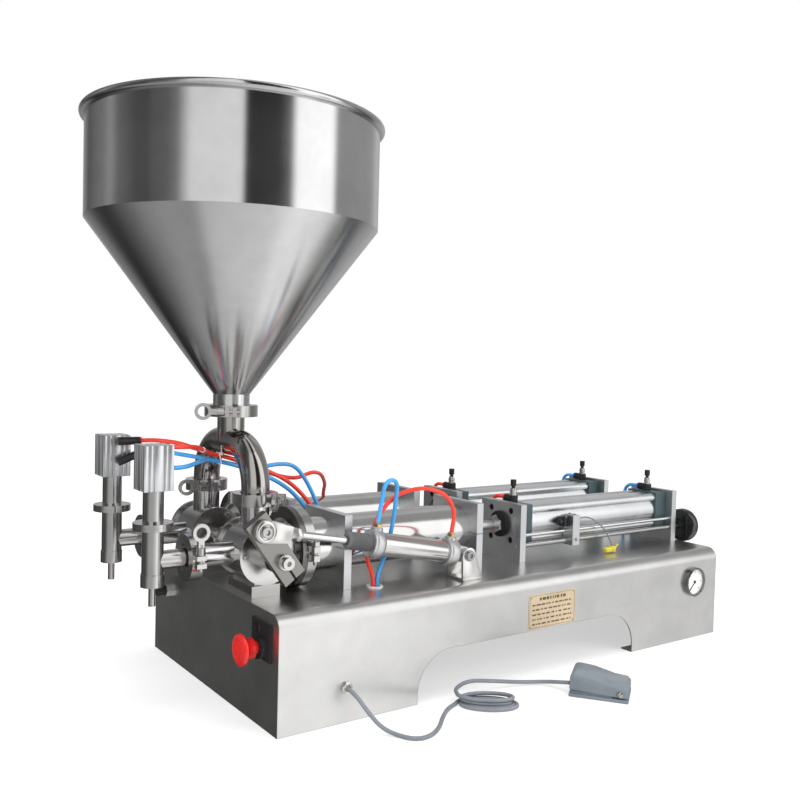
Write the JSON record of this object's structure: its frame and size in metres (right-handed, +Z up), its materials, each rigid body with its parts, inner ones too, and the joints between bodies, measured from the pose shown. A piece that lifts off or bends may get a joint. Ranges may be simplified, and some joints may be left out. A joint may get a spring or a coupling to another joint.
{
  "type": "piston liquid filler",
  "caption": "Benchtop twin-lane piston liquid filler with a cone hopper, rotary valves, air cylinders, drop nozzles and a foot pedal.",
  "frame": {"origin": "centre of the base cabinet's footprint, on the floor", "axes": "+X from the nozzles to the handwheel, -Y the operator's long side, +Z up"},
  "size_m": [1.071, 0.5698, 0.788],
  "materials": {
    "cabinet_steel": "satin",
    "polished_steel": "polished",
    "cast_steel": "bright cast",
    "turned_steel": "turned",
    "dark_steel": "satin",
    "chromed_rod": "polished",
    "plain_aluminium": "milled",
    "extruded_aluminium": "satin anodised",
    "cast_aluminium": "cast",
    "teal_cast": "satin",
    "brass": "plain",
    "black_rubber": "matt",
    "white_seal": "matt",
    "black_plastic": "matt",
    "gloss_black": "gloss",
    "red_hose": "satin",
    "blue_hose": "satin",
    "grey_cord": "satin",
    "pedal_blue": "satin",
    "stop_red": "gloss",
    "gauge_chrome": "polished",
    "plate_tan": "printed",
    "black_needle": "satin",
    "zinc_screw": "plain"
  },
  "bodies": {
    "frame": {"base_cabinet": "cabinet_steel", "hopper_bowl": "polished_steel", "inlet_manifold": "polished_steel", "valve_body_near": "polished_steel", "valve_body_far": "polished_steel", "valve_pedestals": "turned_steel", "valve_caps": "turned_steel", "lever_cylinder_bracket": "turned_steel", "metering_tubes": "polished_steel", "metering_heads": "dark_steel", "tube_saddles": "plain_aluminium", "cylinder_plates": "plain_aluminium", "cylinder_caps": "teal_cast", "cylinder_barrels": "extruded_aluminium", "seals": "black_rubber", "guide_rod": "chromed_rod", "nozzle_bodies": "polished_steel", "nozzle_bonnets": "polished_steel", "nozzle_cylinders": "extruded_aluminium", "pipe_clamps": "cast_steel", "socket_screws": "zinc_screw", "air_fittings": "black_plastic", "red_hoses": "red_hose", "blue_hoses": "blue_hose", "lever_hose_red": "red_hose", "lever_hose_blue": "blue_hose", "hose_grommets": "white_seal", "gauge_case": "gauge_chrome", "switch_plate": "black_plastic", "rating_plate": "plate_tan", "valve_terminal": "plain_aluminium", "cord_gland": "black_plastic", "pedal_cord_start": "grey_cord", "pedal_cord_end": "grey_cord", "pedal_cord_coil": "grey_cord", "pedal_base": "pedal_blue"},
    "valve_shaft": {"valve_spindle": "turned_steel", "valve_lever": "turned_steel"},
    "lever_air_cylinder": {"lever_cylinder": "cast_aluminium", "lever_cylinder_fittings": "brass"},
    "lever_rod": {"lever_piston_rod": "chromed_rod", "lever_clevis": "turned_steel"},
    "piston_near": {"metering_piston_near": "turned_steel", "air_piston_near": "chromed_rod"},
    "piston_far": {"metering_piston_far": "turned_steel", "air_piston_far": "chromed_rod"},
    "plunger_near": {"nozzle_plunger_near": "turned_steel"},
    "plunger_far": {"nozzle_plunger_far": "turned_steel"},
    "adjuster": {"adjusting_screw": "zinc_screw", "handwheel": "gloss_black"},
    "carriage": {"sensor_carriage": "plain_aluminium", "stroke_sensor": "black_plastic"},
    "knob_front_near": {"flow_knob_front_near": "black_plastic"},
    "knob_front_far": {"flow_knob_front_far": "black_plastic"},
    "knob_rear_near": {"flow_knob_rear_near": "black_plastic"},
    "knob_rear_far": {"flow_knob_rear_far": "black_plastic"},
    "pointer": {"gauge_pointer": "black_needle"},
    "rocker": {"rocker_switch": "gloss_black"},
    "stop": {"stop_button": "stop_red"},
    "treadle": {"pedal_treadle": "pedal_blue"}
  },
  "joints": [
    {"name": "valve_turn", "type": "hinge", "parent": "frame", "child": "valve_shaft", "pos_m": [-0.404, -0.081, 0.206], "axis": [0, 1, 0], "range_deg": [0, 60]},
    {"name": "cylinder_swing", "type": "hinge", "parent": "frame", "child": "lever_air_cylinder", "pos_m": [-0.112, -0.161, 0.187], "axis": [0, 1, 0], "range_deg": [-0.5, 4.5], "deforming": ["lever_hose_red", "lever_hose_blue"]},
    {"name": "lever_rod_stroke", "type": "slide", "parent": "lever_air_cylinder", "child": "lever_rod", "axis": [0.9825, 0, -0.1861], "range_m": [0, 0.05]},
    {"name": "piston_stroke_near", "type": "slide", "parent": "frame", "child": "piston_near", "axis": [-1, 0, 0], "range_m": [0, 0.24]},
    {"name": "nozzle_lift_near", "type": "slide", "parent": "frame", "child": "plunger_near", "axis": [0, 0, 1], "range_m": [0, 0.012], "stiffness_N_per_m": 400},
    {"name": "piston_stroke_far", "type": "slide", "parent": "frame", "child": "piston_far", "axis": [-1, 0, 0], "range_m": [0, 0.24]},
    {"name": "nozzle_lift_far", "type": "slide", "parent": "frame", "child": "plunger_far", "axis": [0, 0, 1], "range_m": [0, 0.012], "stiffness_N_per_m": 400},
    {"name": "handwheel_turn", "type": "hinge", "parent": "frame", "child": "adjuster", "pos_m": [0.44, -0.122, 0.176], "axis": [1, 0, 0], "range_deg": [-13500, 4140]},
    {"name": "carriage_travel", "type": "slide", "parent": "frame", "child": "carriage", "axis": [1, 0, 0], "range_m": [-0.047, 0.151]},
    {"name": "flow_knob_turn_front_near", "type": "hinge", "parent": "frame", "child": "knob_front_near", "pos_m": [0.0615, -0.081, 0.27], "axis": [0, 0, 1], "range_deg": [0, 2880]},
    {"name": "flow_knob_turn_front_far", "type": "hinge", "parent": "frame", "child": "knob_front_far", "pos_m": [0.0615, 0.081, 0.27], "axis": [0, 0, 1], "range_deg": [0, 2880]},
    {"name": "flow_knob_turn_rear_near", "type": "hinge", "parent": "frame", "child": "knob_rear_near", "pos_m": [0.3955, -0.081, 0.27], "axis": [0, 0, 1], "range_deg": [0, 2880]},
    {"name": "flow_knob_turn_rear_far", "type": "hinge", "parent": "frame", "child": "knob_rear_far", "pos_m": [0.3955, 0.081, 0.27], "axis": [0, 0, 1], "range_deg": [0, 2880]},
    {"name": "gauge_needle", "type": "hinge", "parent": "frame", "child": "pointer", "pos_m": [0.369, -0.213, 0.098], "axis": [0, 1, 0], "range_deg": [0, 270]},
    {"name": "rocker_tilt", "type": "hinge", "parent": "frame", "child": "rocker", "pos_m": [-0.43, -0.156, 0.125], "axis": [0, 0, 1], "range_deg": [-12, 12]},
    {"name": "stop_push", "type": "slide", "parent": "frame", "child": "stop", "axis": [1, 0, 0], "range_m": [0, 0.004], "stiffness_N_per_m": 1500},
    {"name": "pedal_press", "type": "hinge", "parent": "frame", "child": "treadle", "pos_m": [0.04582, -0.33331, 0.012], "axis": [-0.8028, -0.5962, 0], "range_deg": [0, 3], "stiffness_Nm_per_rad": 3, "springref_deg": -5.73}
  ],
  "couplings": [
    {"joint": "cylinder_swing", "follows": "valve_turn", "ratio": 0.0631},
    {"joint": "lever_rod_stroke", "follows": "valve_turn", "m_per_rad": 0.0456},
    {"joint": "carriage_travel", "follows": "handwheel_turn", "m_per_rad": -0.00063662}
  ]
}
